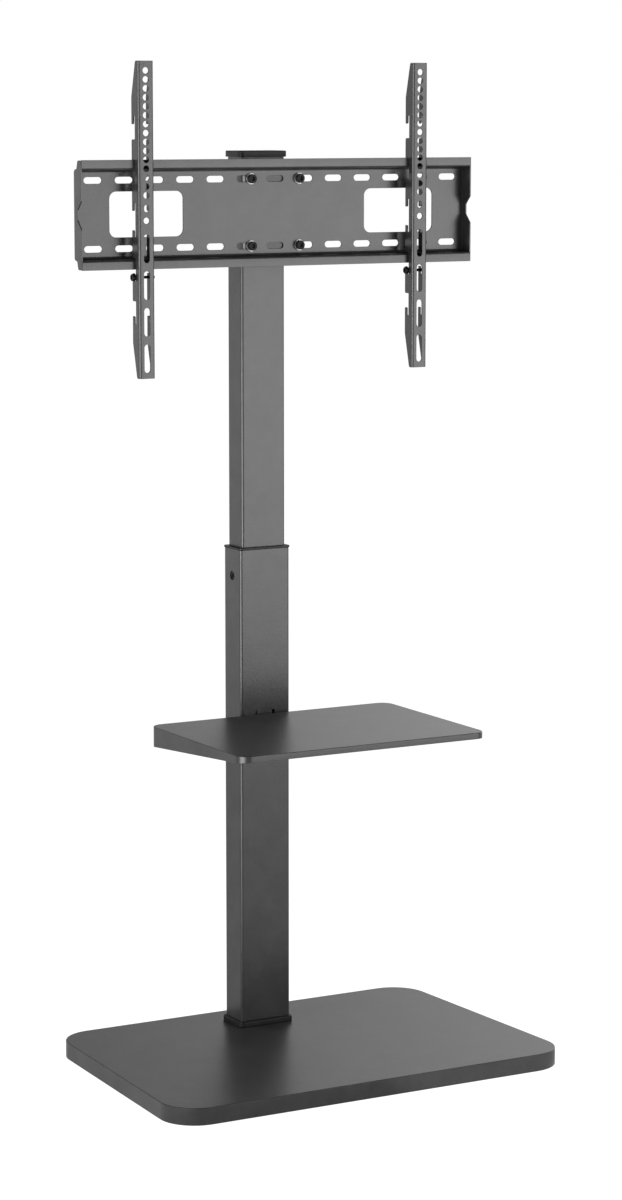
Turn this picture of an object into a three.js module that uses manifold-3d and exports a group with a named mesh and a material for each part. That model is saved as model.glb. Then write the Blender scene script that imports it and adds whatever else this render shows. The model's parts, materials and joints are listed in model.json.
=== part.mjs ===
// Floor stand with a television mount. A trapezoid base carries a telescopic column, a small shelf hangs
// in a slot of the lower tube, and the upper tube carries a folded plate on which two arms hook.
// Millimetres, +Z up, the front faces -Y, and the origin lies on the floor under the middle of the base.

import * as THREE from 'three';
import { mergeVertices } from 'three/addons/utils/BufferGeometryUtils.js';
import Module from 'manifold-3d';

const wasm = await Module();
wasm.setup();

// Fits shared by all pieces
const seat = 0.3;                 // gap between pieces that rest on or in each other
const overrun = 5;                // how far a cutting body reaches past what it cuts

// Base: a pressed cover over a ballast plate on rubber feet
const baseFrontWidth = 627;
const baseRearWidth = 586;
const baseDepth = 426;
const baseTop = 25;               // top of the cover above the floor
const baseCorner = 52;            // corner radius seen from above
const baseEdge = 1.2;             // soft top edge of the cover
const coverSheet = 2;
const coverLift = 0.8;            // lower edge of the cover above the floor
const padHeight = 3;              // rubber feet
const padRadius = 20;
const padEdge = 1;                // slope at the lower rim of a foot
const padInset = 58;              // from the cover's edges to the middle of a foot
const ballast = 6;                // thickness of the ballast plate
const ballastGap = 1.5;           // between the plate's edge and the cover's wall
const ribShare = 0.63;            // between the middles of the two ribs, of the base's middle width
const ribLength = 300;
const ribTop = 32;                // width of a rib's flat top
const ribFoot = 18;               // width of each of its two feet
const ribFlare = 4;               // how far its sides lean out
const ribSheet = 1.5;
const ribScrewSpacing = 220;      // along a rib
const ribScrewRadius = 2.5;

// Column: two rectangular tubes, the upper one guided by plastic sleeves in the lower one
const columnInset = 71.4;         // from the base's rear edge to the column's middle
const upperWidth = 70;
const upperDepth = 42;
const tubeWall = 2;
const tubeCorner = 4;             // outer corner radius
const sideGap = 3;                // between the tubes, left and right
const frontGap = 2;               // between the tubes, front and rear
const lowerTop = 723.7;           // upper edge of the lower tube above the floor
const flangeWidth = 150;          // flange at the foot of the lower tube
const flangeDepth = 100;
const flangeThickness = 6;
const footBoltSpacingX = 110;
const footBoltSpacingY = 60;
const footBoltRadius = 4;
const trimHeight = 8.5;           // collar round the foot
const trimOverhang = 4.5;
const trimEdge = 2;
const coverHoleGap = 1;           // between the lower tube and its hole in the cover
const collarLip = 3;              // collar at the top of the lower tube
const collarOverhang = 1.2;
const collarSkirt = 28;           // how deep it reaches into the tube
const lockHole = 13.5;            // round hole in each side of the lower tube
const lockDrop = 3.85;            // from the collar's skirt down to the hole
const lockNutRim = 3.25;          // threaded plate round the hole
const lockNutCorner = 1.5;
const lockScrewRadius = 5;
const lockScrewRecess = 1.2;      // from the tube's outside in to the screw's face
const guideHeight = 88;           // sleeve at the lower end of the upper tube
const guideFloor = 3;
const guideRim = 9;               // width of the floor's rim
const tubeRise = 82.2;            // top of the upper tube above the plate's middle
const capThickness = 2.3;
const capSkirt = 6;               // outside, down from the tube's top
const capOverhang = 3.4;
const capPlug = 18;               // inside, down from the tube's top
const capPlugWall = 2;
const capEdge = 1;

// Interface plate: a web between two ledges with a lip each, closed by flanges at both ends
const mountHeight = 1203.5;       // middle of the plate above the floor
const plateLength = 619.8;
const ledgeSpacing = 125;         // between the outer faces of the two ledges
const lipHeight = 11.9;           // of a lip beyond its ledge
const channelDepth = 24;          // from the lips' front to the web's back
const plateSheet = 2;
const plateBend = 1.5;            // inner radius of a lip's fold
const webBend = 4;                // inner radius where the web meets a ledge
const plateSlotLength = 27.2;
const plateSlotWidth = 9;
const plateSlotPitch = 47;
const plateSlotInset = 15.9;      // from a ledge's outer face to the middle of the slot row
const plateSlotMargin = 6;        // least solid web between the last slot and the end flange
const windowWidth = 112.7;
const windowHeight = 62.3;
const windowMargin = 52.8;        // from the plate's end to the window
const windowCorner = 10;
const earBase = 15;               // ear of the end flange beside a lip
const earTip = 11.5;
const earCorner = 3;
const notchMouth = 38.4;          // notch in the front edge of the end flange
const notchBottom = 14.7;
const notchDepth = 12.5;
const notchCorner = 2;

// Bracket and bolts between the upper tube and the plate
const bracketDepth = 32.5;
const bracketSheet = 3;
const bracketRim = 7;             // of its front plate beyond the bolts' middles, to the sides
const bracketEnd = 12.4;          // the same, up and down
const bracketWaist = 10.5;        // from a bolt's middle in to the box that meets the tube
const mountBoltShift = 8.8;       // how far a bolt sits inwards of the middle of its slot
const mountBoltRadius = 4;
const mountHeadRadius = 6.5;
const mountHeadHeight = 4.6;
const mountSocket = 3.4;          // radius of the hexagon socket
const socketDepth = 2.6;
const washerRadius = 7.8;
const washerThickness = 1.6;
const mountNutRadius = 7.5;       // over the corners
const mountNutHeight = 6.5;
const boltTail = 2;               // how far a bolt stands out of its nut

// Arms: folded channels with hooks in both flanges
const armSpacing = 434;           // between the middles of the two arms
const armLength = 431;
const armWidth = 24;
const armDepth = 20.65;           // from the face to the rear edge of the flanges
const armTipDepth = 8.5;
const armTipCorner = 3;
const armTaper = 48.5;            // length over which the depth grows from the tip
const armSheet = 2;
const armBend = 1.2;
const armDrop = 8;                // middle of a hooked arm below the middle of the plate
const hookFront = 10.7;           // from the face to the front of a hook's slot
const lipPlay = 2.4;              // slot width beyond the lip's thickness
const hookPitch = 58.6;           // between the three heights at which an arm can hang
const hookTipGap = 0.8;           // between a hook's tip and the ledge under it
const hookTipCorner = 2.6;
const hookRootCorner = 0.8;
const shoulderGap = 1.2;          // between the lower ledge and the shoulder over it
const shoulderCorner = 5;
const armHoleRadius = 4.5;
const armHolePitch = 12;
const armHoleMargin = 13.1;       // from the upper end to the middle of the first hole
const armHoleFloor = 28;          // the row ends this far above the arm's middle
const armObroundHeight = 10;
const armObroundWidth = 6.8;
const armObroundRise = 16.5;      // above the arm's middle
const armSlotLength = 39;
const armSlotWidth = 8.8;
const armSlotPitch = 50;
const armSlotMargin = 8;          // from the lower end to the last slot
const safetyRadius = 2;
const safetyHeadRadius = 5;
const safetyHeadLength = 5;
const safetyNutRadius = 4;        // over the corners
const safetyNutLength = 3.2;
const safetySocket = 2.4;

// Shelf and the bracket that hooks it into the lower tube
const shelfDrop = 236;            // shelf top below the lower tube's upper edge
const shelfWidth = 388;
const shelfDepth = 276;
const shelfStandoff = 14.6;       // from the column's face to the shelf's rear edge
const shelfCorner = 18;
const shelfRearHeight = 30;
const shelfFrontHeight = 9;
const shelfHeel = 4;              // rounding of the lower rear edge
const shelfEdge = 0.8;            // soft top edge
const traySheet = 2;
const slotWidth = 31;             // slot in the front of the lower tube
const slotHeight = 14.8;
const slotRise = 2.6;             // upper edge of the slot above the shelf's top
const slotCorner = 1.5;
const tabWidth = 25.4;
const hookRise = 8.2;             // hook above the slot's upper edge, inside the tube
const hangerSheet = 3;
const hangerWidth = 60;
const hangerDrop = 50;            // backing plate below the slot
const hangerNeck = 5;             // rear part of the cheeks below the shelf's underside
const hangerReach = 158;          // cheeks forward from the backing plate
const hangerTip = 16;             // height of the cheeks at their front ends
const hangerTipCorner = 8;
const hangerFlange = 17;          // top flanges outwards of the cheeks
const notchGap = 1.5;             // between the cheeks and the notch in the tray's rear wall
const studSpacing = 104;          // along the flanges
const studRadius = 3;
const studLength = 14;
const studNutRadius = 5.6;        // over the corners
const studNutHeight = 5;

// Shares of a fastener's own radius or height
const socketShare = 0.7;          // socket of a countersunk screw, of its radius
const grubShare = 0.5;            // socket of a headless screw, of its radius
const headEdgeShare = 0.125;      // soft edge of a socket head, of its height

// Fineness of the round shapes
const arcSteps = 6;               // steps in a quarter turn of a large corner
const smallSteps = 3;             // steps in a quarter turn of a small corner or hole
const washerSteps = 5;
const hexSides = 6;
const boltSides = 18;
const hiddenSides = 12;           // of fasteners that nothing shows
const edgeSteps = 2;
const closeShare = 1e-6;          // points nearer than this share of a radius are one point

// Sizes that follow from the ones above
const lowerWidth = upperWidth + 2 * (sideGap + tubeWall);
const lowerDepth = upperDepth + 2 * (frontGap + tubeWall);
const columnY = baseDepth / 2 - columnInset;
const baseMiddleWidth = (baseFrontWidth + baseRearWidth) / 2;
const ribSpacing = ribShare * baseMiddleWidth;
const ballastTop = padHeight + ballast;
const flangeTop = ballastTop + seat + flangeThickness;
const lockHeight = lowerTop - collarSkirt - lockDrop - lockHole / 2;
const lockNutSize = lockHole + 2 * lockNutRim;
const guideTop = lockHeight - lockNutSize / 2 - seat;
const guideBottom = guideTop - guideHeight;
const upperBottom = guideBottom + guideFloor + seat;
const upperTop = mountHeight + tubeRise;
const bracketBack = -upperDepth / 2 - seat;
const bracketFront = bracketBack - bracketDepth;
const webBack = bracketFront - seat;
const lipFront = webBack - channelDepth;
const slotRow = ledgeSpacing / 2 - plateSlotInset;
const mountBoltX = plateSlotPitch - mountBoltShift;
const lipReach = ledgeSpacing / 2 + lipHeight;
const armFace = lipFront - seat - hookFront;
const armMiddle = mountHeight - armDrop;
const hookBack = hookFront + plateSheet + lipPlay;
const hookTop = lipReach + seat + armDrop;
const hookLength = lipHeight - hookTipGap;
const hookGap = 2 * armDrop + seat + lipHeight + plateSheet + shoulderGap;
const columnFront = -lowerDepth / 2;
const shelfTop = lowerTop - shelfDrop;
const shelfRear = columnFront - shelfStandoff;
const shelfFront = shelfRear - shelfDepth;
const slotTop = shelfTop + slotRise;
const slotBottom = slotTop - slotHeight;
const hangerBack = columnFront - seat;
const hangerPlateFront = hangerBack - hangerSheet;
const hangerTop = shelfTop - traySheet - seat;
const hangerFrontEnd = hangerPlateFront - hangerReach;
const studX = (hangerWidth + hangerFlange) / 2;

// Corners of a rectangle round a middle point, each as [across, up, radius]
function rectangle(width, height, radius = 0, across = 0, up = 0) {
  const signs = [[-1, -1], [1, -1], [1, 1], [-1, 1]];
  return signs.map(([a, b]) => [across + (a * width) / 2, up + (b * height) / 2, radius]);
}

// Corners of a square that rounds off to a circle
function circle(radius, across = 0, up = 0) {
  return rectangle(2 * radius, 2 * radius, radius, across, up);
}

// Points of an outline whose corners are rounded by arcs, as far as its edges leave room for them
function roundedPoints(corners, steps) {
  const points = [];
  corners.forEach(([x, y, radius = 0], index) => {
    const corner = new THREE.Vector2(x, y);
    const [backX, backY] = corners.at(index - 1);
    const [aheadX, aheadY] = corners[(index + 1) % corners.length];
    const back = new THREE.Vector2(backX - x, backY - y);
    const ahead = new THREE.Vector2(aheadX - x, aheadY - y);
    const room = Math.min(back.length(), ahead.length()) / 2;
    back.normalize();
    ahead.normalize();
    const half = Math.acos(THREE.MathUtils.clamp(back.dot(ahead), -1, 1)) / 2;
    const run = Math.min(radius / Math.tan(half), room);
    if (run <= 0) {
      points.push(corner);
      return;
    }
    const fillet = run * Math.tan(half);
    const inwards = back.clone().add(ahead).normalize();
    const middle = corner.clone().addScaledVector(inwards, fillet / Math.sin(half));
    const spoke = corner.clone().addScaledVector(back, run).sub(middle);
    const turn = (Math.PI - 2 * half) * Math.sign(ahead.cross(back));
    const count = Math.max(1, Math.round((Math.abs(turn) / Math.PI) * 2 * steps));
    for (let step = 0; step <= count; step += 1) {
      const point = spoke.clone().rotateAround(new THREE.Vector2(), (turn * step) / count).add(middle);
      const last = points.at(-1);
      if (!last || last.distanceTo(point) > closeShare * fillet) points.push(point);
    }
  });
  const first = points[0];
  while (points.length > 1 && points.at(-1).distanceTo(first) < closeShare * first.length()) points.pop();
  return points;
}

// Outline of a folded sheet. Its middle line is a list of [across, up, inner fold radius].
function foldedSheet(line, thickness) {
  const side = (sign) => line.map(([x, y, fold = 0], index) => {
    const here = new THREE.Vector2(x, y);
    const from = new THREE.Vector2(...(line[index - 1] ?? line[index]).slice(0, 2));
    const to = new THREE.Vector2(...(line[index + 1] ?? line[index]).slice(0, 2));
    const next = to.clone().sub(here).normalize();
    const inbound = here.clone().sub(from).normalize();
    const into = index === 0 ? next : inbound;
    const out = index === line.length - 1 ? inbound : next;
    const mitre = new THREE.Vector2(-into.y - out.y, into.x + out.x).divideScalar(1 + into.dot(out));
    const turn = into.cross(out) * sign;
    const radius = turn === 0 ? 0 : fold + (turn > 0 ? 0 : thickness);
    return [x + (sign * mitre.x * thickness) / 2, y + (sign * mitre.y * thickness) / 2, radius];
  });
  return [...side(1), ...side(-1).reverse()];
}

// How an outline's two directions and its thickness lie in space, by the axis it is extruded along
const east = new THREE.Vector3(1, 0, 0);
const north = new THREE.Vector3(0, 1, 0);
const south = new THREE.Vector3(0, -1, 0);
const above = new THREE.Vector3(0, 0, 1);
const planes = {
  x: new THREE.Matrix4().makeBasis(north, above, east),
  y: new THREE.Matrix4().makeBasis(east, above, south),
  z: new THREE.Matrix4().makeBasis(east, north, above),
};

// A body with the given outline between two places on an axis, its end edges bevelled if edge is given
function prism(axis, corners, from, to, { holes = [], steps = smallSteps, edge = 0 } = {}) {
  const shape = new THREE.Shape(roundedPoints(corners, steps));
  shape.holes = holes.map((hole) => new THREE.Path(roundedPoints(hole, steps)));
  const geometry = new THREE.ExtrudeGeometry(shape, {
    depth: to - from - 2 * edge,
    bevelEnabled: edge > 0,
    bevelThickness: edge,
    bevelSize: edge,
    bevelOffset: -edge,
    bevelSegments: edgeSteps,
  });
  geometry.translate(0, 0, edge + (axis === 'y' ? -to : from));
  return geometry.applyMatrix4(planes[axis]);
}

// A plain block between two corners
function block([x0, y0, z0], [x1, y1, z1]) {
  const geometry = new THREE.BoxGeometry(x1 - x0, y1 - y0, z1 - z0);
  return geometry.translate((x0 + x1) / 2, (y0 + y1) / 2, (z0 + z1) / 2);
}

// A turned body on the Z axis. Its profile is a list of [radius, height] that starts and ends on the axis.
function turned(profile, sides = boltSides) {
  const points = profile.map(([radius, height]) => new THREE.Vector2(radius, height));
  return new THREE.LatheGeometry(points, sides).rotateX(Math.PI / 2);
}

function solidOf(geometry) {
  const bare = geometry.clone();
  bare.deleteAttribute('normal');
  bare.deleteAttribute('uv');
  const merged = mergeVertices(bare);
  return new wasm.Manifold(new wasm.Mesh({
    numProp: 3,
    vertProperties: new Float32Array(merged.attributes.position.array),
    triVerts: new Uint32Array(merged.index.array),
  }));
}

function geometryOf(solid) {
  const { vertProperties, triVerts } = solid.getMesh();
  const geometry = new THREE.BufferGeometry();
  geometry.setAttribute('position', new THREE.BufferAttribute(vertProperties, 3));
  geometry.setIndex(new THREE.BufferAttribute(triVerts, 1));
  geometry.computeVertexNormals();
  return geometry;
}

function join(...geometries) {
  return geometryOf(geometries.map(solidOf).reduce((whole, piece) => whole.add(piece)));
}

function cut(body, ...tools) {
  return geometryOf(solidOf(body).subtract(solidOf(join(...tools))));
}

function meet(body, other) {
  return geometryOf(solidOf(body).intersect(solidOf(other)));
}

function moved(geometry, x, y, z) {
  return geometry.clone().translate(x, y, z);
}

// Copies of one cutting body at several places
function repeated(geometry, places) {
  return join(...places.map(([x, y, z]) => moved(geometry, x, y, z)));
}

// The four places at plus and minus two distances
function fourPlaces(x, y, z) {
  return [[-x, -y, z], [x, -y, z], [x, y, z], [-x, y, z]];
}

// The same piece turned so that its Z axis points to the front or to the right
function towardsFront(geometry) {
  return geometry.clone().rotateX(Math.PI / 2);
}

function towardsRight(geometry) {
  return geometry.clone().rotateY(Math.PI / 2);
}

// Paints and plastics
function finish(colour, roughness, metalness) {
  return new THREE.MeshStandardMaterial({ color: colour, roughness, metalness });
}

const powderCoat = finish(0x3b3b3d, 0.55, 0.3);
const armCoat = finish(0x464648, 0.5, 0.3);
const hangerPaint = finish(0x4a4b4d, 0.55, 0.3);
const bareSteel = finish(0x8e9092, 0.4, 0.9);
const brightSteel = finish(0xc4c6c8, 0.25, 1);
const blackSteel = finish(0x1a1a1b, 0.4, 0.7);
const blackPlastic = finish(0x151516, 0.45, 0);
const greyPlastic = finish(0x5b5d5f, 0.6, 0);
const rubber = finish(0x1d1d1d, 0.9, 0);

function add(group, name, geometry, material) {
  const mesh = new THREE.Mesh(geometry, material);
  mesh.name = name;
  group.add(mesh);
  return mesh;
}

// The same piece at several places, with numbered names
function addCopies(group, name, geometry, material, places) {
  places.forEach(([x, y, z], index) => {
    add(group, `${name}_${index + 1}`, geometry, material).position.set(x, y, z);
  });
}

// Fasteners

// Countersunk screw on the Z axis, its head flush with its lower end
function countersunkScrew(radius, length) {
  const head = 2 * radius;
  const screw = turned([[0, 0], [head, 0], [radius, radius], [radius, length], [0, length]], hiddenSides);
  const hole = socketShare * radius;
  const socket = new THREE.CylinderGeometry(hole, hole, radius, hexSides);
  return cut(screw, socket.rotateX(Math.PI / 2));
}

// The hole that it needs, from below the plate's underside up through the given height
function countersunkHole(radius, length) {
  const wide = radius + seat;
  const mouth = 2 * radius + seat;
  return turned([
    [0, -overrun], [mouth, -overrun], [mouth, 0], [wide, radius], [wide, length], [0, length],
  ], hiddenSides);
}

// Socket head screw on the Z axis: the head stands above zero and the shank runs below it
function socketScrew(radius, length, headRadius, headHeight, socketRadius, depth) {
  const edge = headEdgeShare * headHeight;
  const screw = turned([
    [0, -length], [radius, -length], [radius, 0], [headRadius, 0],
    [headRadius, headHeight - edge], [headRadius - edge, headHeight], [0, headHeight],
  ]);
  const socket = new THREE.CylinderGeometry(socketRadius, socketRadius, 2 * depth, hexSides);
  return cut(screw, socket.rotateX(Math.PI / 2).translate(0, 0, headHeight));
}

// Headless screw with a socket in its upper end
function grubScrew(radius, length) {
  const screw = turned([[0, 0], [radius, 0], [radius, length], [0, length]]);
  const hole = grubShare * radius;
  const socket = new THREE.CylinderGeometry(hole, hole, length, hexSides);
  return cut(screw, socket.rotateX(Math.PI / 2).translate(0, 0, length));
}

function hexNut(radius, height, bore) {
  const outline = new THREE.CylinderGeometry(radius, radius, height, hexSides).rotateX(Math.PI / 2);
  const hole = turned([[0, -height], [bore, -height], [bore, height], [0, height]], hiddenSides);
  return cut(outline, hole);
}

// Base

// Outline of the base seen from above, drawn in by an inset from its edges
function baseOutline(inset) {
  const lean = (baseFrontWidth - baseRearWidth) / 2 / baseDepth;
  const sideInset = inset * Math.hypot(1, lean);
  const end = baseDepth / 2 - inset;
  const middle = baseMiddleWidth / 2 - sideInset;
  const front = middle + lean * end;
  const rear = middle - lean * end;
  const radius = baseCorner - inset;
  return [[-front, -end, radius], [front, -end, radius], [rear, end, radius], [-rear, end, radius]];
}

// Where the feet stand: the same outline, drawn in to the middles of the feet
function padPlaces() {
  return baseOutline(padInset).map(([x, y]) => [x, y, 0]);
}

// A rib has one screw in each foot, at opposite ends
function ribScrewPlaces(side) {
  const foot = ribTop / 2 + ribFlare + ribFoot / 2;
  const middle = ribSpacing / 2;
  return [-1, 1].map((end) => [side * (middle + end * foot), (end * ribScrewSpacing) / 2, padHeight]);
}

function makeBase() {
  const base = new THREE.Group();
  const outside = prism('z', baseOutline(0), coverLift - 2 * baseEdge, baseTop,
    { steps: 2 * arcSteps, edge: baseEdge });
  const below = block([-baseFrontWidth, -baseDepth, -baseTop], [baseFrontWidth, baseDepth, coverLift]);
  const hollow = prism('z', baseOutline(coverSheet), -overrun, baseTop - coverSheet,
    { steps: 2 * arcSteps });
  const tubeHole = rectangle(
    lowerWidth + 2 * coverHoleGap, lowerDepth + 2 * coverHoleGap, tubeCorner + coverHoleGap, 0, columnY);
  const opening = prism('z', tubeHole, 0, baseTop + overrun);
  add(base, 'base_cover', cut(outside, below, hollow, opening), powderCoat);

  const screwPlaces = [...ribScrewPlaces(-1), ...ribScrewPlaces(1)];
  const boltPlaces = fourPlaces(footBoltSpacingX / 2, footBoltSpacingY / 2, padHeight)
    .map(([x, y, z]) => [x, y + columnY, z]);
  const plateOutline = baseOutline(coverSheet + ballastGap);
  const plateBody = prism('z', plateOutline, padHeight, ballastTop, { steps: arcSteps });
  const screwHoles = repeated(countersunkHole(ribScrewRadius, ballast + overrun), screwPlaces);
  const boltHoles = repeated(countersunkHole(footBoltRadius, ballast + overrun), boltPlaces);
  add(base, 'base_plate', cut(plateBody, screwHoles, boltHoles), bareSteel);

  const ribBottom = ballastTop + seat + ribSheet / 2;
  const ribRoof = baseTop - coverSheet - seat - ribSheet / 2;
  const shoulder = ribTop / 2;
  const knee = shoulder + ribFlare;
  const toe = knee + ribFoot;
  const section = foldedSheet([
    [-toe, ribBottom], [-knee, ribBottom, ribSheet], [-shoulder, ribRoof, ribSheet],
    [shoulder, ribRoof, ribSheet], [knee, ribBottom, ribSheet], [toe, ribBottom],
  ], ribSheet);
  const ribBody = prism('y', section, -ribLength / 2, ribLength / 2);
  const bore = ribScrewRadius + seat;
  const ribHole = turned([[0, 0], [bore, 0], [bore, baseTop / 2], [0, baseTop / 2]], hiddenSides);
  for (const [side, name] of [[-1, 'base_rib_left'], [1, 'base_rib_right']]) {
    const rib = moved(ribBody, side * (ribSpacing / 2), 0, 0);
    add(base, name, cut(rib, repeated(ribHole, ribScrewPlaces(side))), bareSteel);
  }
  const screwLength = ballast + seat + ribSheet;
  addCopies(base, 'base_screw', countersunkScrew(ribScrewRadius, screwLength), brightSteel, screwPlaces);
  const boltLength = flangeTop - padHeight;
  addCopies(base, 'foot_bolt', countersunkScrew(footBoltRadius, boltLength), brightSteel, boltPlaces);

  const pad = turned([
    [0, 0], [padRadius - padEdge, 0], [padRadius, padEdge],
    [padRadius, padHeight - seat], [0, padHeight - seat],
  ]);
  addCopies(base, 'rubber_foot', pad, rubber, padPlaces());
  return base;
}

// Column, in a group whose origin lies on the column's axis

function tubeOutline(width, depth, growth) {
  return rectangle(width + 2 * growth, depth + 2 * growth, Math.max(tubeCorner + growth, tubeWall / 2));
}

function makeColumn() {
  const column = new THREE.Group();
  column.position.y = columnY;

  const flangeBolt = footBoltRadius + seat;
  const flangeHoles = fourPlaces(footBoltSpacingX / 2, footBoltSpacingY / 2, 0)
    .map(([x, y]) => circle(flangeBolt, x, y));
  const flangeOutline = rectangle(flangeWidth, flangeDepth, flangeThickness);
  const flange = prism('z', flangeOutline, ballastTop + seat, flangeTop, { holes: flangeHoles });
  add(column, 'foot_flange', flange, bareSteel);

  const lower = prism('z', tubeOutline(lowerWidth, lowerDepth, 0), flangeTop + seat, lowerTop,
    { holes: [tubeOutline(lowerWidth, lowerDepth, -tubeWall)] });
  const sideHoles = prism('x', circle(lockHole / 2, 0, lockHeight), -lowerWidth, lowerWidth,
    { steps: arcSteps });
  const slotOutline = rectangle(slotWidth, slotHeight, slotCorner, 0, slotTop - slotHeight / 2);
  const frontSlot = prism('y', slotOutline, columnFront - overrun, columnFront + tubeWall + frontGap);
  add(column, 'lower_tube', cut(lower, sideHoles, frontSlot), powderCoat);

  const trimBottom = baseTop + seat;
  const trim = prism('z', tubeOutline(lowerWidth, lowerDepth, trimOverhang), trimBottom - 2 * trimEdge,
    trimBottom + trimHeight, { edge: trimEdge });
  const under = block([-lowerWidth, -lowerDepth, 0], [lowerWidth, lowerDepth, trimBottom]);
  const trimHole = prism('z', tubeOutline(lowerWidth, lowerDepth, seat), 0,
    trimBottom + trimHeight + overrun);
  add(column, 'base_trim', cut(trim, under, trimHole), blackPlastic);

  const lip = prism('z', tubeOutline(lowerWidth, lowerDepth, collarOverhang), lowerTop + seat,
    lowerTop + seat + collarLip);
  const skirt = prism('z', tubeOutline(lowerWidth, lowerDepth, -tubeWall - seat), lowerTop - collarSkirt,
    lowerTop + seat + collarLip);
  const sleeveHole = prism('z', tubeOutline(upperWidth, upperDepth, seat), 0,
    lowerTop + overrun + collarLip);
  add(column, 'tube_collar', cut(join(lip, skirt), sleeveHole), blackPlastic);

  const nutInside = upperWidth / 2 + seat;
  const nutOutside = lowerWidth / 2 - tubeWall - seat;
  const screwFace = lowerWidth / 2 - lockScrewRecess;
  const nutHole = circle(lockScrewRadius + seat, 0, lockHeight);
  const nutOutline = rectangle(lockNutSize, lockNutSize, lockNutCorner, 0, lockHeight);
  const screw = towardsRight(grubScrew(lockScrewRadius, screwFace - nutInside));
  for (const [side, word] of [[-1, 'left'], [1, 'right']]) {
    const [near, far] = [side * nutInside, side * nutOutside].sort((a, b) => a - b);
    add(column, `lock_nut_${word}`, prism('x', nutOutline, near, far, { holes: [nutHole] }), bareSteel);
    const screwMesh = add(column, `lock_screw_${word}`, screw, blackSteel);
    screwMesh.position.set(side * nutInside, 0, lockHeight);
    if (side < 0) screwMesh.rotation.z = Math.PI;
  }
  return column;
}

// What slides in the column: the upper tube with its sleeve and cap, and the mount
function makeMast() {
  const mast = new THREE.Group();
  mast.position.y = columnY;

  const upper = prism('z', tubeOutline(upperWidth, upperDepth, 0), upperBottom, upperTop,
    { holes: [tubeOutline(upperWidth, upperDepth, -tubeWall)] });
  add(mast, 'upper_tube', upper, powderCoat);

  const sleeve = prism('z', tubeOutline(lowerWidth, lowerDepth, -tubeWall - seat), guideBottom, guideTop);
  const sleeveBore = prism('z', tubeOutline(upperWidth, upperDepth, seat), guideBottom + guideFloor,
    guideTop + overrun);
  const floorHole = prism('z', tubeOutline(upperWidth, upperDepth, -guideRim), guideBottom - overrun,
    guideTop);
  add(mast, 'tube_guide', cut(sleeve, sleeveBore, floorHole), greyPlastic);

  const capBottom = upperTop - capSkirt;
  const capTop = upperTop + seat + capThickness;
  const capOutline = tubeOutline(upperWidth, upperDepth, capOverhang);
  const capBody = prism('z', capOutline, capBottom - 2 * capEdge, capTop, { edge: capEdge });
  const capUnder = block([-upperWidth, -upperDepth, 0], [upperWidth, upperDepth, capBottom]);
  const capSeat = prism('z', tubeOutline(upperWidth, upperDepth, seat), 0, upperTop + seat);
  const plugOutline = tubeOutline(upperWidth, upperDepth, -tubeWall - seat);
  const plug = prism('z', plugOutline, upperTop - capPlug, upperTop + seat + capThickness / 2,
    { holes: [tubeOutline(upperWidth, upperDepth, -tubeWall - seat - capPlugWall)] });
  add(mast, 'top_cap', join(cut(capBody, capUnder, capSeat), plug), blackPlastic);

  makeMount(mast);
  return mast;
}

function makeMount(mast) {
  const wing = mountBoltX + bracketRim;
  const waist = mountBoltX - bracketWaist;
  const bottom = mountHeight - slotRow - bracketEnd;
  const top = mountHeight + slotRow + bracketEnd;
  const faceOutline = rectangle(2 * wing, top - bottom, bracketSheet, 0, mountHeight);
  const facePlate = prism('y', faceOutline, bracketFront, bracketFront + bracketSheet);
  const boxOutline = [
    [-waist, bracketFront + bracketSheet / 2], [waist, bracketFront + bracketSheet / 2],
    [waist, bracketBack, bracketSheet], [-waist, bracketBack, bracketSheet],
  ];
  const boxHole = [
    [-waist + bracketSheet, bracketFront + bracketSheet],
    [waist - bracketSheet, bracketFront + bracketSheet],
    [waist - bracketSheet, bracketBack - bracketSheet],
    [-waist + bracketSheet, bracketBack - bracketSheet],
  ];
  const boxBody = prism('z', boxOutline, bottom, top, { holes: [boxHole] });
  const places = fourPlaces(mountBoltX, slotRow, 0).map(([x, rise]) => [x, 0, mountHeight + rise]);
  const boltHole = places.map(([x, , z]) => {
    return prism('y', circle(mountBoltRadius + seat, x, z), bracketFront - overrun,
      bracketFront + 2 * bracketSheet);
  });
  add(mast, 'mount_bracket', cut(join(facePlate, boxBody), ...boltHole), blackSteel);

  const webFront = webBack - plateSheet;
  const washerBack = webFront - seat;
  const washerFront = washerBack - washerThickness;
  const headBack = washerFront - seat;
  const nutFront = bracketFront + bracketSheet + seat;
  const nutMiddle = nutFront + mountNutHeight / 2;
  const boltEnd = nutFront + mountNutHeight + boltTail;
  const bolt = socketScrew(mountBoltRadius, boltEnd - headBack, mountHeadRadius, mountHeadHeight,
    mountSocket, socketDepth);
  const at = (y) => places.map(([x, , z]) => [x, y, z]);
  addCopies(mast, 'mount_bolt', towardsFront(bolt), blackSteel, at(headBack));
  const washer = prism('y', circle(washerRadius), 0, washerThickness,
    { holes: [circle(mountBoltRadius + seat)], steps: washerSteps });
  addCopies(mast, 'mount_washer', washer, brightSteel, at(washerFront));
  const nut = hexNut(mountNutRadius, mountNutHeight, mountBoltRadius + seat);
  addCopies(mast, 'mount_nut', towardsFront(nut), brightSteel, at(nutMiddle));

  add(mast, 'interface_plate', interfacePlate(), powderCoat);
  for (const [side, word] of [[-1, 'left'], [1, 'right']]) {
    const arm = new THREE.Group();
    arm.position.set(side * (armSpacing / 2), armFace, armMiddle);
    add(arm, `arm_${word}`, armBody(), armCoat);
    addSafetyBolt(arm, word);
    mast.add(arm);
  }
}

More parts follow.
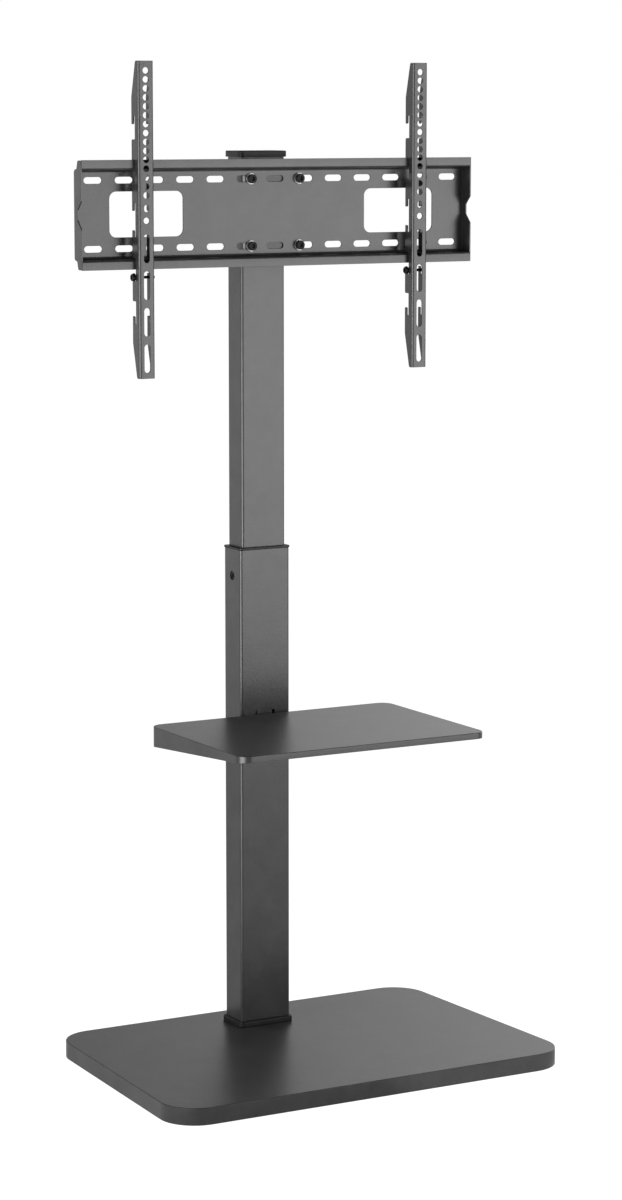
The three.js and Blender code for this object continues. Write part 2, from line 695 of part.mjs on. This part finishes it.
// The plate's section is one folded line, and its slots, windows and end flanges follow its ledges
function interfacePlate() {
  const half = plateLength / 2;
  const ledge = ledgeSpacing / 2 - plateSheet / 2;
  const lip = lipFront + plateSheet / 2;
  const web = webBack - plateSheet / 2;
  const section = foldedSheet([
    [lip, lipReach], [lip, ledge, plateBend], [web, ledge, webBend],
    [web, -ledge, webBend], [lip, -ledge, plateBend], [lip, -lipReach],
  ].map(([y, rise, fold = 0]) => [y, mountHeight + rise, fold]), plateSheet);
  const skin = plateSheet / 2;
  const body = prism('x', section, -half + skin, half - skin);

  // The end flanges reach to the middle of the sheet that they are folded from or welded to
  const earReach = lipReach - skin / 2;
  const flangeOutline = [
    [skin, -earReach], [earTip, -earReach, earCorner], [earBase, -ledge],
    [channelDepth - skin, -ledge, webBend], [channelDepth - skin, ledge, webBend],
    [earBase, ledge], [earTip, earReach, earCorner], [skin, earReach],
    [skin, notchMouth / 2, notchCorner], [notchDepth, notchBottom / 2, notchCorner],
    [notchDepth, -notchBottom / 2, notchCorner], [skin, -notchMouth / 2, notchCorner],
  ].map(([y, z, radius]) => [lipFront + y, mountHeight + z, radius]);
  const flanges = [-1, 1].map((side) => {
    const [from, to] = [side * (half - plateSheet), side * half].sort((a, b) => a - b);
    return prism('x', flangeOutline, from, to);
  });

  const lastSlot = half - plateSheet - plateSlotMargin - plateSlotLength / 2;
  const slotsPerSide = Math.floor(lastSlot / plateSlotPitch);
  const webCuts = [];
  const cutWeb = (outline, steps) => {
    webCuts.push(prism('y', outline, webBack - plateSheet - overrun, webBack + overrun, { steps }));
  };
  for (let index = -slotsPerSide; index <= slotsPerSide; index += 1) {
    for (const row of [-slotRow, slotRow]) {
      cutWeb(rectangle(plateSlotLength, plateSlotWidth, plateSlotWidth / 2, index * plateSlotPitch,
        mountHeight + row), smallSteps);
    }
  }
  for (const side of [-1, 1]) {
    const across = side * (half - windowMargin - windowWidth / 2);
    cutWeb(rectangle(windowWidth, windowHeight, windowCorner, across, mountHeight), arcSteps);
  }
  return cut(join(body, ...flanges), ...webCuts);
}

// One hook: a slot that opens into a gap, cut from the rear edge. The lower hooks are its mirror image.
function hookCut(top, mirror) {
  const tip = top - hookLength;
  const shoulder = top - hookGap;
  const far = armDepth + overrun;
  const corners = [
    [hookFront, shoulder, hookRootCorner],
    [armDepth, shoulder, shoulderCorner],
    [armDepth, shoulder - shoulderCorner],
    [far, shoulder - shoulderCorner],
    [far, tip + hookTipCorner],
    [armDepth, tip + hookTipCorner],
    [armDepth, tip, hookTipCorner],
    [hookBack, tip, hookTipCorner],
    [hookBack, top, hookRootCorner],
    [hookFront, top, hookRootCorner],
  ].map(([y, z, radius]) => [y, mirror * z, radius]);
  return prism('x', corners, -armWidth, armWidth);
}

// An arm, in a group whose origin is the middle of its face: a channel met by its side outline
function armBody() {
  const half = armLength / 2;
  const flange = armWidth / 2 - armSheet / 2;
  const channel = prism('z', foldedSheet([
    [flange, armDepth + overrun], [flange, armSheet / 2, armBend], [-flange, armSheet / 2, armBend],
    [-flange, armDepth + overrun],
  ], armSheet), -half, half);
  const sideOutline = [
    [0, -half], [armTipDepth, -half, armTipCorner], [armDepth, -half + armTaper, armTipCorner],
    [armDepth, half - armTaper, armTipCorner], [armTipDepth, half, armTipCorner], [0, half],
  ];
  const body = meet(channel, prism('x', sideOutline, -armWidth, armWidth));

  const cuts = [];
  for (const level of [-1, 0, 1]) {
    for (const mirror of [-1, 1]) cuts.push(hookCut(hookTop + level * hookPitch, mirror));
  }
  const cutFace = (outline) => cuts.push(prism('y', outline, -overrun, armSheet + overrun));
  for (let z = half - armHoleMargin; z > armHoleFloor; z -= armHolePitch) {
    cutFace(circle(armHoleRadius, 0, z));
  }
  cutFace(rectangle(armObroundWidth, armObroundHeight, armObroundWidth / 2, 0, armObroundRise));
  cutFace(circle(armHoleRadius));
  const lastSlot = -half + armSlotMargin + armSlotLength / 2;
  for (let z = lastSlot; z < -armSlotLength / 2 - armHoleRadius; z += armSlotPitch) {
    cutFace(rectangle(armSlotWidth, armSlotLength, armSlotWidth / 2, 0, z));
  }
  return cut(body, ...cuts);
}

// The bolt that crosses an arm's lower hook slots keeps it from being lifted off the plate
function addSafetyBolt(arm, word) {
  const y = hookFront + (hookBack - hookFront) / 2;
  const z = -hookTop + hookLength / 2;
  const head = -armWidth / 2 - seat;
  const nutMiddle = armWidth / 2 + seat + safetyNutLength / 2;
  const length = nutMiddle + safetyNutLength / 2 + boltTail - head;
  const bolt = socketScrew(safetyRadius, length, safetyHeadRadius, safetyHeadLength, safetySocket,
    socketDepth);
  add(arm, `safety_bolt_${word}`, moved(towardsRight(bolt).rotateZ(Math.PI), head, y, z), blackSteel);
  const nut = towardsRight(hexNut(safetyNutRadius, safetyNutLength, safetyRadius + seat));
  add(arm, `safety_nut_${word}`, moved(nut, nutMiddle, y, z), blackSteel);
}

// Shelf, in a group whose origin lies on the column's axis

function shelfOutline(inset) {
  const depth = shelfDepth - 2 * inset;
  return rectangle(shelfWidth - 2 * inset, depth, shelfCorner - inset, 0, (shelfRear + shelfFront) / 2);
}

function shelfTray() {
  const bottom = shelfTop - shelfRearHeight;
  const outside = prism('z', shelfOutline(0), bottom - overrun, shelfTop,
    { steps: arcSteps, edge: shelfEdge });
  const inside = prism('z', shelfOutline(traySheet), bottom - 2 * overrun, shelfTop - traySheet,
    { steps: arcSteps });
  const wedge = prism('x', [
    [shelfFront - overrun, shelfTop + overrun], [shelfFront - overrun, shelfTop - shelfFrontHeight],
    [shelfFront, shelfTop - shelfFrontHeight], [shelfRear, bottom, shelfHeel],
    [shelfRear, bottom + 2 * shelfHeel], [shelfRear + overrun, bottom + 2 * shelfHeel],
    [shelfRear + overrun, shelfTop + overrun],
  ], -shelfWidth, shelfWidth);
  const notchHalf = hangerWidth / 2 + notchGap;
  const notch = block([-notchHalf, shelfRear - 2 * traySheet, bottom - overrun],
    [notchHalf, shelfRear + overrun, shelfTop - traySheet]);
  return cut(meet(outside, wedge), inside, notch);
}

// A backing plate with a hook through the slot, and two cheeks that carry the tray on their flanges
function shelfHanger() {
  const half = hangerWidth / 2;
  const bottom = slotBottom - hangerDrop;
  const neckTop = hangerTop - hangerNeck;
  const plate = prism('y', rectangle(hangerWidth, neckTop - bottom, hangerSheet, 0, (neckTop + bottom) / 2),
    hangerPlateFront, hangerBack);
  const tabBottom = slotBottom + seat;
  const hookFace = columnFront + tubeWall + seat;
  const hook = foldedSheet([
    [hangerPlateFront + hangerSheet / 2, tabBottom + hangerSheet / 2],
    [hookFace + hangerSheet / 2, tabBottom + hangerSheet / 2],
    [hookFace + hangerSheet / 2, slotTop + hookRise],
  ], hangerSheet);
  const tab = prism('x', hook, -tabWidth / 2, tabWidth / 2);
  const cheekOutline = [
    [hangerPlateFront + hangerSheet / 2, bottom], [hangerPlateFront + hangerSheet / 2, neckTop],
    [shelfRear, neckTop], [shelfRear - traySheet, hangerTop], [hangerFrontEnd, hangerTop],
    [hangerFrontEnd, hangerTop - hangerTip, hangerTipCorner],
  ];
  const flangeRear = shelfRear - traySheet - seat;
  const sides = [-1, 1].flatMap((side) => {
    const [from, to] = [side * (half - hangerSheet), side * half].sort((a, b) => a - b);
    const [near, far] = [side * (half - hangerSheet), side * (half + hangerFlange)].sort((a, b) => a - b);
    const flangeOutline = rectangle(far - near, flangeRear - hangerFrontEnd, hangerSheet, (near + far) / 2,
      (flangeRear + hangerFrontEnd) / 2);
    const flange = prism('z', flangeOutline, hangerTop - hangerSheet, hangerTop);
    return [prism('x', cheekOutline, from, to), flange];
  });
  const holes = studPlaces().map(([x, y]) => {
    return prism('z', circle(studRadius + seat, x, y), hangerTop - 2 * hangerSheet, hangerTop + overrun);
  });
  return cut(join(plate, tab, ...sides), ...holes);
}

function studPlaces() {
  const middle = (shelfRear - traySheet + hangerFrontEnd) / 2;
  return fourPlaces(studX, studSpacing / 2, 0).map(([x, y, z]) => [x, y + middle, z]);
}

function makeShelf() {
  const shelf = new THREE.Group();
  shelf.position.y = columnY;
  add(shelf, 'shelf_tray', shelfTray(), powderCoat);
  add(shelf, 'shelf_bracket', shelfHanger(), hangerPaint);
  const studBottom = hangerTop - studLength;
  const stud = turned([[0, 0], [studRadius, 0], [studRadius, studLength], [0, studLength]], hiddenSides);
  const at = (z) => studPlaces().map(([x, y]) => [x, y, z]);
  addCopies(shelf, 'shelf_stud', stud, brightSteel, at(studBottom));
  const nut = hexNut(studNutRadius, studNutHeight, studRadius + seat);
  const nutMiddle = hangerTop - hangerSheet - seat - studNutHeight / 2;
  addCopies(shelf, 'shelf_nut', nut, brightSteel, at(nutMiddle));
  return shelf;
}

const stand = new THREE.Group();
stand.add(makeBase(), makeColumn(), makeMast(), makeShelf());

export default stand;
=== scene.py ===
import json
import math

import bpy
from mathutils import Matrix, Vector

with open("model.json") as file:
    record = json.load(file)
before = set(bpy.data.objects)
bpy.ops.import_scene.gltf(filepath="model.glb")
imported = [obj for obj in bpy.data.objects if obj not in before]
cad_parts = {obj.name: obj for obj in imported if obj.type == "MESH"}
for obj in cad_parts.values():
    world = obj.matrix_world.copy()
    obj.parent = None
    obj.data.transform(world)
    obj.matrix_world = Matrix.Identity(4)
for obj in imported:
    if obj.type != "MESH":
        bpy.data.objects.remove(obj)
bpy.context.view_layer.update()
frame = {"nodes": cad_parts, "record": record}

# Camera: picture height and focal length in pixels, sensor in millimetres, angles in degrees, rest in metres
PHOTO_HEIGHT = 1200
FOCAL_PIXELS = 3369.58
SENSOR = 36.0
AZIMUTH = -29.222
ELEVATION = 8.268
TARGET = Vector((0.010079, 0.0, 0.664221))
DISTANCE = 4.729753
CLIP_START = 0.1
CLIP_END = 100.0

# The room as gloss sees it: a window's azimuth in degrees, the cosines of its soft edge, and two strengths
WINDOW_SIDE = 115.0
WINDOW_FADE = (0.7, 0.9)
ROOM_DARK = 0.3
ROOM_BRIGHT = 2.2

# The low light as gloss sees it: pale all round, with two bright sides, key and rim, given as the window is
LOW_PALE = 0.85
LOW_KEY_SIDE = 34.0
LOW_KEY_FADE = (0.88, 0.975)
LOW_KEY = 5.4
LOW_RIM_SIDE = -65.0
LOW_RIM_FADE = (0.9, 0.972)
LOW_RIM = 9.0

# The soft upper edge of the low light, as sines of the angle above the horizon
LOW_EDGE = (0.17, 0.05)

# The floor's painted glow as gloss sees it, which paints reflections of a key and a rim light on the object:
# dim round the object, less so on the key's side, and as bright as the low light far off. The fades are
# distances from the middle of the object, in metres
FLOOR_NEAR = 0.4
FLOOR_PAINTED_KEY_NEAR = 1.0
FLOOR_PAINTED_KEY_FADE = (1.3, 0.5)
FLOOR_FADE = (1.2, 5.0)
FLOOR_PAINTED_RIM_FADE = (0.2, 2.6)

# The floor's colour for matt surfaces, the colour that takes the shadow and the glow for the camera, and
# how far the floor reaches to each side, in metres
FLOOR_COLOUR = 0.8
FLOOR_SHADE = 0.25
FLOOR_GLOW = 0.97
FLOOR_REACH = 40.0

# The even light on matt surfaces, and two standing lamps for them, in degrees and metres but for the radiance
AMBIENT = 0.18
LAMPS = {
    "key": dict(azimuth=43.0, distance=2.1, low=0.04, high=1.7, width=1.4, radiance=5.4),
    "side": dict(azimuth=-86.0, distance=1.9, low=0.02, high=1.9, width=1.6, radiance=6.5),
}

# How much duller a surface is that faces straight up, and how far up its normal points where that starts
DUST = 0.07
DUST_START = 0.8

# Coats: the darkest and lightest grey, and the least and most roughness
COATS = {
    "powder_coat": dict(dark=0.018, light=0.027, gloss=0.26, dull=0.32),
    "arm_coat": dict(dark=0.017, light=0.024, gloss=0.26, dull=0.32),
    "bracket_coat": dict(dark=0.019, light=0.027, gloss=0.34, dull=0.4),
    "black_steel": dict(dark=0.004, light=0.007, gloss=0.4, dull=0.5),
    "black_plastic": dict(dark=0.006, light=0.009, gloss=0.35, dull=0.45),
    "grey_plastic": dict(dark=0.09, light=0.11, gloss=0.45, dull=0.55),
    "rubber": dict(dark=0.01, light=0.014, gloss=0.7, dull=0.85),
}

# Coats whose grain, its depth in metres or the strength of whose gloss differs from that of powder coat
COAT_GRAINS = {
    "black_steel": dict(grain=2200.0, depth=0.00001, specular=0.15),
    "black_plastic": dict(grain=1800.0, depth=0.00002, specular=0.25),
    "grey_plastic": dict(grain=1500.0, depth=0.00002),
    "rubber": dict(grain=1200.0, depth=0.00005),
}
COAT_GRAIN_DETAIL = 3.0
COAT_GRAIN_STRENGTH = 0.4

# The orange peel of a coat: how many times wider and deeper than the grain
PEEL_TIMES = 4
PEEL_STRENGTH = 0.8

# The faint clouding of a coat
CLOUD_SCALE = 26.0
CLOUD_DETAIL = 5.0
CLOUD_ROUGHNESS = 0.62
CLOUD_LIMITS = (0.35, 0.65)

# Metals: the darkest and lightest grey, and the least and most roughness
METALS = {
    "bare_steel": dict(dark=0.35, light=0.45, gloss=0.32, dull=0.48),
    "bright_steel": dict(dark=0.35, light=0.45, gloss=0.4, dull=0.5),
}
METAL_GRAIN = 900.0
METAL_GRAIN_DETAIL = 4.0
METAL_GRAIN_STRENGTH = 0.3
METAL_GRAIN_DEPTH = 0.00001

# The faint stains of a metal
STAIN_SCALE = 60.0
STAIN_DETAIL = 3.0
STAIN_LIMITS = (0.3, 0.7)

# For every finish: the roughness of its grain's noise, and how much bluer than a neutral grey it is
GRAIN_ROUGHNESS = 0.6
BLUE_TINT = 1.02

# The roundness of edges, in metres
STEEL_EDGE = 0.0003
PLASTIC_EDGE = 0.0005
PLASTICS = ("black_plastic", "grey_plastic", "rubber")
EDGE_SEGMENTS = 2

# Points closer than this many metres are joined, and these angles tell flat, soft and sharp seams apart
WELD = 0.00001
FLAT_ANGLE = math.radians(1.0)
EDGE_ANGLE = math.radians(35.0)
SMOOTH_ANGLE = math.radians(40.0)

# How strongly large faces set the shading beside them, from 1 to 100, where 50 is even
NORMAL_WEIGHT = 100


def direction(azimuth, elevation):
    """The direction from the object to a viewer or a lamp at these angles, in degrees."""
    a, e = math.radians(azimuth), math.radians(elevation)
    return Vector((math.sin(a) * math.cos(e), -math.cos(a) * math.cos(e), math.sin(e)))


def add_object(name, data):
    thing = bpy.data.objects.new(name, data)
    bpy.context.scene.collection.objects.link(thing)
    return thing


def aim(thing, target, azimuth, elevation, distance):
    """Sets a camera or a lamp at these angles and this distance from a target, facing it."""
    outwards = direction(azimuth, elevation)
    thing.location = target + outwards * distance
    thing.rotation_euler = (-outwards).to_track_quat("-Z", "Y").to_euler()


def make_camera():
    data = bpy.data.cameras.new("camera")
    data.sensor_width = SENSOR
    data.lens = FOCAL_PIXELS * SENSOR / PHOTO_HEIGHT
    data.clip_start = CLIP_START
    data.clip_end = CLIP_END
    camera = add_object("camera", data)
    aim(camera, TARGET, AZIMUTH, ELEVATION, DISTANCE)
    bpy.context.scene.camera = camera


# Nodes that the materials and the world share

def math_node(tree, operation, first, second):
    node = tree.nodes.new("ShaderNodeMath")
    node.operation = operation
    tree.links.new(first, node.inputs[0])
    tree.links.new(second, node.inputs[1])
    return node.outputs["Value"]


def vector_math(tree, operation, vector, output="Value"):
    node = tree.nodes.new("ShaderNodeVectorMath")
    node.operation = operation
    tree.links.new(vector, node.inputs[0])
    return node.outputs[output]


def map_range(tree, value, start=(0.0, 1.0), end=(0.0, 1.0), shape="LINEAR"):
    """A value carried from a start range to an end range, and held at the ends."""
    node = tree.nodes.new("ShaderNodeMapRange")
    node.interpolation_type = shape
    for name, limit in zip(("From Min", "From Max", "To Min", "To Max"), (*start, *end)):
        node.inputs[name].default_value = limit
    tree.links.new(value, node.inputs["Value"])
    return node.outputs["Result"]


def fade(tree, value, limits):
    """A soft step from 0 to 1 between two limits."""
    return map_range(tree, value, start=limits, shape="SMOOTHSTEP")


def mix_value(tree, factor, low, high):
    """Low where the factor is 0 and high where it is 1. Each of the three is a number or a socket."""
    node = tree.nodes.new("ShaderNodeMix")
    node.data_type = "FLOAT"
    for name, value in (("Factor", factor), ("A", low), ("B", high)):
        if isinstance(value, float):
            node.inputs[name].default_value = value
        else:
            tree.links.new(value, node.inputs[name])
    return node.outputs["Result"]


def upward(tree, vector):
    """The part of a vector that points up."""
    axes = tree.nodes.new("ShaderNodeSeparateXYZ")
    tree.links.new(vector, axes.inputs["Vector"])
    return axes.outputs["Z"]


def cosine_to(tree, vector, azimuth):
    """The cosine between a vector's direction and an azimuth on the floor."""
    node = tree.nodes.new("ShaderNodeVectorMath")
    node.operation = "DOT_PRODUCT"
    node.inputs[1].default_value = direction(azimuth, 0.0)
    tree.links.new(vector_math(tree, "NORMALIZE", vector, "Vector"), node.inputs[0])
    return node.outputs["Value"]


# Materials

def new_material(name):
    material = bpy.data.materials.new(name)
    material.use_nodes = True
    return material, material.node_tree


def noise(tree, scale, detail=2.0, roughness=0.5):
    coordinates = tree.nodes.new("ShaderNodeTexCoord")
    texture = tree.nodes.new("ShaderNodeTexNoise")
    texture.inputs["Scale"].default_value = scale
    texture.inputs["Detail"].default_value = detail
    texture.inputs["Roughness"].default_value = roughness
    tree.links.new(coordinates.outputs["Object"], texture.inputs["Vector"])
    return texture.outputs["Fac"]


def tones(tree, factor, limits, dark, light):
    """From a dark grey to a light one, between two limits of a factor."""
    node = tree.nodes.new("ShaderNodeValToRGB")
    for element, position, value in zip(node.color_ramp.elements, limits, (dark, light)):
        element.position = position
        element.color = (value, value, value * BLUE_TINT, 1.0)
    tree.links.new(factor, node.inputs["Fac"])
    return node.outputs["Color"]


def bump(tree, height, strength, distance, below=None):
    node = tree.nodes.new("ShaderNodeBump")
    node.inputs["Strength"].default_value = strength
    node.inputs["Distance"].default_value = distance
    tree.links.new(height, node.inputs["Height"])
    if below is not None:
        tree.links.new(below, node.inputs["Normal"])
    return node.outputs["Normal"]


def settled(tree, roughness):
    """Surfaces that face up are a little duller, with the fine dust that lies on them."""
    normal = tree.nodes.new("ShaderNodeNewGeometry").outputs["Normal"]
    dust = map_range(tree, upward(tree, normal), start=(DUST_START, 1.0), end=(0.0, DUST))
    return math_node(tree, "ADD", roughness, dust)


def coat(name, dark, light, gloss, dull, grain=1400.0, depth=0.00003, specular=0.5):
    """Powder coat, moulded plastic or rubber: a fine grain over a soft orange peel, and a faint clouding."""
    material, tree = new_material(name)
    shader = tree.nodes["Principled BSDF"]
    shader.inputs["Specular IOR Level"].default_value = specular
    fine = noise(tree, grain, COAT_GRAIN_DETAIL, GRAIN_ROUGHNESS)
    peel = noise(tree, grain / PEEL_TIMES)
    cloud = noise(tree, CLOUD_SCALE, CLOUD_DETAIL, CLOUD_ROUGHNESS)
    soft = bump(tree, peel, PEEL_STRENGTH, depth * PEEL_TIMES)
    roughness = map_range(tree, peel, end=(gloss, dull))
    tree.links.new(tones(tree, cloud, CLOUD_LIMITS, dark, light), shader.inputs["Base Color"])
    tree.links.new(settled(tree, roughness), shader.inputs["Roughness"])
    tree.links.new(bump(tree, fine, COAT_GRAIN_STRENGTH, depth, soft), shader.inputs["Normal"])
    return material


def metal(name, dark, light, gloss, dull):
    """Bare or plated steel: a fine grain and faint stains."""
    material, tree = new_material(name)
    shader = tree.nodes["Principled BSDF"]
    shader.inputs["Metallic"].default_value = 1.0
    fine = noise(tree, METAL_GRAIN, METAL_GRAIN_DETAIL, GRAIN_ROUGHNESS)
    broad = noise(tree, STAIN_SCALE, STAIN_DETAIL)
    tree.links.new(tones(tree, broad, STAIN_LIMITS, dark, light), shader.inputs["Base Color"])
    tree.links.new(map_range(tree, fine, end=(gloss, dull)), shader.inputs["Roughness"])
    tree.links.new(bump(tree, fine, METAL_GRAIN_STRENGTH, METAL_GRAIN_DEPTH), shader.inputs["Normal"])
    return material


def make_materials():
    materials = {name: coat(name, **values, **COAT_GRAINS.get(name, {})) for name, values in COATS.items()}
    materials.update({name: metal(name, **values) for name, values in METALS.items()})
    return materials


# Edges and shading of the pieces

def make_smoother():
    """A node group that shades smoothly across soft seams and keeps the sharp ones."""
    group = bpy.data.node_groups.new("smooth_by_angle", "GeometryNodeTree")
    for way in ("INPUT", "OUTPUT"):
        group.interface.new_socket("Geometry", in_out=way, socket_type="NodeSocketGeometry")
    start = group.nodes.new("NodeGroupInput")
    end = group.nodes.new("NodeGroupOutput")
    faces = group.nodes.new("GeometryNodeSetShadeSmooth")
    faces.domain = "FACE"
    edges = group.nodes.new("GeometryNodeSetShadeSmooth")
    edges.domain = "EDGE"
    angle = group.nodes.new("GeometryNodeInputMeshEdgeAngle")
    below = group.nodes.new("FunctionNodeCompare")
    below.data_type = "FLOAT"
    below.operation = "LESS_THAN"
    below.inputs["B"].default_value = SMOOTH_ANGLE
    group.links.new(angle.outputs["Unsigned Angle"], below.inputs["A"])
    group.links.new(start.outputs[0], faces.inputs["Geometry"])
    group.links.new(faces.outputs[0], edges.inputs["Geometry"])
    group.links.new(below.outputs["Result"], edges.inputs["Shade Smooth"])
    group.links.new(edges.outputs[0], end.inputs[0])
    return group


def soften(piece, width, smoother):
    """Welds a node's triangles, clears the flat seams, rounds the real edges and shades them softly."""
    weld = piece.modifiers.new("weld", "WELD")
    weld.merge_threshold = WELD
    flat = piece.modifiers.new("flat", "DECIMATE")
    flat.decimate_type = "DISSOLVE"
    flat.angle_limit = FLAT_ANGLE
    edge = piece.modifiers.new("edge", "BEVEL")
    edge.width = width
    edge.segments = EDGE_SEGMENTS
    edge.limit_method = "ANGLE"
    edge.angle_limit = EDGE_ANGLE
    edge.use_clamp_overlap = False
    smooth = piece.modifiers.new("smooth", "NODES")
    smooth.node_group = smoother
    normals = piece.modifiers.new("normals", "WEIGHTED_NORMAL")
    normals.mode = "FACE_AREA"
    normals.weight = NORMAL_WEIGHT
    normals.keep_sharp = True


def dress_nodes(materials):
    smoother = make_smoother()
    for row in frame["record"]["subparts"]:
        piece = frame["nodes"][row["node"]]
        slot = row["material_slot"]
        piece.data.materials.clear()
        piece.data.materials.append(materials[slot])
        soften(piece, PLASTIC_EDGE if slot in PLASTICS else STEEL_EDGE, smoother)


# Stage and light

def area_lamp(name, azimuth, distance, low, high, width, radiance):
    """A standing soft lamp from one height to another, facing the object, for matt surfaces alone."""
    height = high - low
    data = bpy.data.lights.new(name, "AREA")
    data.shape = "RECTANGLE"
    data.size = width
    data.size_y = height
    data.energy = radiance * math.pi * width * height
    lamp = add_object(name, data)
    aim(lamp, Vector((0.0, 0.0, (low + high) / 2)), azimuth, 0.0, distance)
    lamp.visible_camera = False
    lamp.visible_glossy = False


def ray_switch(tree):
    """1 for what the camera, gloss and glass see and 0 for light on matt surfaces, then 1 for the camera."""
    path = tree.nodes.new("ShaderNodeLightPath")
    camera = path.outputs["Is Camera Ray"]
    seen = camera
    for kind in ("Is Glossy Ray", "Is Transmission Ray"):
        seen = math_node(tree, "MAXIMUM", seen, path.outputs[kind])
    return seen, camera


def low_light(tree, vector):
    """The low light in a vector's direction, without its rim, then the shares of its key and its rim."""
    key_share = fade(tree, cosine_to(tree, vector, LOW_KEY_SIDE), LOW_KEY_FADE)
    rim_share = fade(tree, cosine_to(tree, vector, LOW_RIM_SIDE), LOW_RIM_FADE)
    return mix_value(tree, key_share, LOW_PALE, LOW_KEY), key_share, rim_share


def floor_painted_glow(tree):
    """How brightly the floor glows for gloss, from place to place: painted key and rim light, which the
    object's gloss shows as painted reflections.
    """
    place = tree.nodes.new("ShaderNodeNewGeometry").outputs["Position"]
    distance = vector_math(tree, "LENGTH", place)
    light, key_share, rim_share = low_light(tree, place)
    near = mix_value(tree, key_share, FLOOR_NEAR, FLOOR_PAINTED_KEY_NEAR)
    near = mix_value(tree, fade(tree, distance, FLOOR_PAINTED_KEY_FADE), FLOOR_NEAR, near)
    light = mix_value(tree, fade(tree, distance, FLOOR_FADE), near, light)
    # Painted rim light: a bright strip of floor glow off to the rim's side
    rim_share = math_node(tree, "MULTIPLY", rim_share, fade(tree, distance, FLOOR_PAINTED_RIM_FADE))
    return mix_value(tree, rim_share, light, LOW_RIM)


def opaque(value):
    return (value, value, value, 1.0)


def make_world():
    """A white backdrop all round, which gloss sees as a dim room with one window above the low light."""
    world = bpy.data.worlds.new("world")
    world.use_nodes = True
    tree = world.node_tree
    view = tree.nodes.new("ShaderNodeTexCoord").outputs["Generated"]
    window = fade(tree, cosine_to(tree, view, WINDOW_SIDE), WINDOW_FADE)
    room = mix_value(tree, window, ROOM_DARK, ROOM_BRIGHT)
    light, _, rim_share = low_light(tree, view)
    low = mix_value(tree, rim_share, light, LOW_RIM)
    room = mix_value(tree, fade(tree, upward(tree, view), LOW_EDGE), room, low)
    seen, camera = ray_switch(tree)
    strength = mix_value(tree, seen, AMBIENT, mix_value(tree, camera, room, 1.0))
    background = tree.nodes["Background"]
    background.inputs["Color"].default_value = opaque(1.0)
    tree.links.new(strength, background.inputs["Strength"])
    bpy.context.scene.world = world


def matt(tree, value):
    node = tree.nodes.new("ShaderNodeBsdfDiffuse")
    node.inputs["Color"].default_value = opaque(value)
    return node.outputs["BSDF"]


def make_floor():
    """A pale floor that keeps the object's soft shadow, and glows for gloss with painted key and rim light.
    """
    signs = ((-1, -1), (1, -1), (1, 1), (-1, 1))
    mesh = bpy.data.meshes.new("floor")
    mesh.from_pydata([(x * FLOOR_REACH, y * FLOOR_REACH, 0.0) for x, y in signs], [], [(0, 1, 2, 3)])
    floor = add_object("floor", mesh)
    material, tree = new_material("floor")
    tree.nodes.remove(tree.nodes["Principled BSDF"])
    seen, camera = ray_switch(tree)
    glow = tree.nodes.new("ShaderNodeEmission")
    # Painted light: for gloss the floor glows brighter on the key's side and in a rim strip, in place of
    # lamps
    tree.links.new(mix_value(tree, camera, floor_painted_glow(tree), FLOOR_GLOW), glow.inputs["Strength"])
    both = tree.nodes.new("ShaderNodeAddShader")
    tree.links.new(matt(tree, FLOOR_SHADE), both.inputs[0])
    tree.links.new(glow.outputs[0], both.inputs[1])
    choose = tree.nodes.new("ShaderNodeMixShader")
    tree.links.new(seen, choose.inputs["Fac"])
    tree.links.new(matt(tree, FLOOR_COLOUR), choose.inputs[1])
    tree.links.new(both.outputs[0], choose.inputs[2])
    tree.links.new(choose.outputs[0], tree.nodes["Material Output"].inputs["Surface"])
    mesh.materials.append(material)


make_camera()
make_world()
make_floor()
for lamp_name, lamp_values in LAMPS.items():
    area_lamp(lamp_name, **lamp_values)
dress_nodes(make_materials())

bpy.context.scene.view_settings.view_transform = "Standard"
